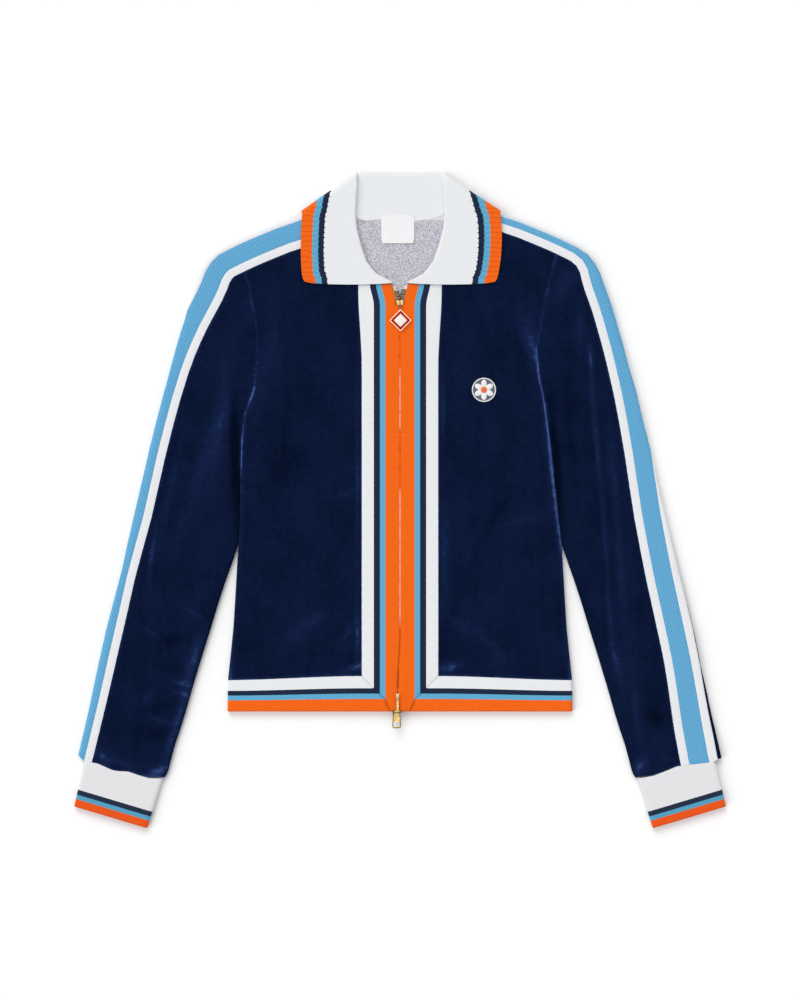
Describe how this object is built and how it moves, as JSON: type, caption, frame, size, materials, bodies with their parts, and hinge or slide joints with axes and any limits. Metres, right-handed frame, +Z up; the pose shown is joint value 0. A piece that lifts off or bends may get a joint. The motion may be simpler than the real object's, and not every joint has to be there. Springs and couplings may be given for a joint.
{
  "type": "track jacket laid flat",
  "caption": "Cropped velour track jacket laid flat, front up, with a knitted collar, zip bands, hem and cuffs and a stripe over each sleeve.",
  "frame": {"origin": "on the surface the jacket lies on, under the middle of its outline, on the line of the zip", "axes": "+Z up out of the front, +Y from the hem towards the collar, +X to the right of someone who looks down on the front"},
  "size_m": [0.7296, 0.735, 0.0097],
  "materials": {
    "navy_velour": "navy cotton velour, short dense pile with a soft sheen",
    "white_twill": "white twill tape",
    "blue_twill": "light blue twill tape",
    "white_rib": "white fine rib knit, tipped in navy, light blue and orange",
    "tape": "cream woven zip tape with gilt metal teeth",
    "gilt": "polished gilt metal",
    "enamel": "enamelled diamond with a gilt rim",
    "label": "bare woven label",
    "badge": "embroidered patch with a plain flower"
  },
  "bodies": {
    "garment": {"front_left": "navy_velour", "front_right": "navy_velour", "back": "navy_velour", "sleeve_front_left": "navy_velour", "sleeve_front_right": "navy_velour", "sleeve_back_left": "navy_velour", "sleeve_back_right": "navy_velour", "strap_front_white_left": "white_twill", "strap_front_white_right": "white_twill", "strap_blue_left": "blue_twill", "strap_blue_right": "blue_twill", "strap_back_white_left": "white_twill", "strap_back_white_right": "white_twill", "collar": "white_rib", "placket_left": "white_rib", "placket_right": "white_rib", "hem_front_left": "white_rib", "hem_front_right": "white_rib", "hem_back": "white_rib", "cuff_left": "white_rib", "cuff_right": "white_rib", "zip_tape_left": "tape", "zip_tape_right": "tape", "top_slider": "gilt", "bottom_slider": "gilt", "neck_label": "label", "chest_badge": "badge"},
    "top_pull": {"top_pull": "enamel"},
    "bottom_pull": {"bottom_pull": "gilt"}
  },
  "joints": [
    {"name": "top_pull_hinge", "type": "hinge", "parent": "garment", "child": "top_pull", "pos_m": [0, 0.22, 0.0077], "axis": [-1, 0, 0], "range_deg": [0, 150]},
    {"name": "bottom_pull_hinge", "type": "hinge", "parent": "garment", "child": "bottom_pull", "pos_m": [-0.0026, -0.2195, 0.0077], "axis": [-1, 0, 0], "range_deg": [0, 150]}
  ]
}
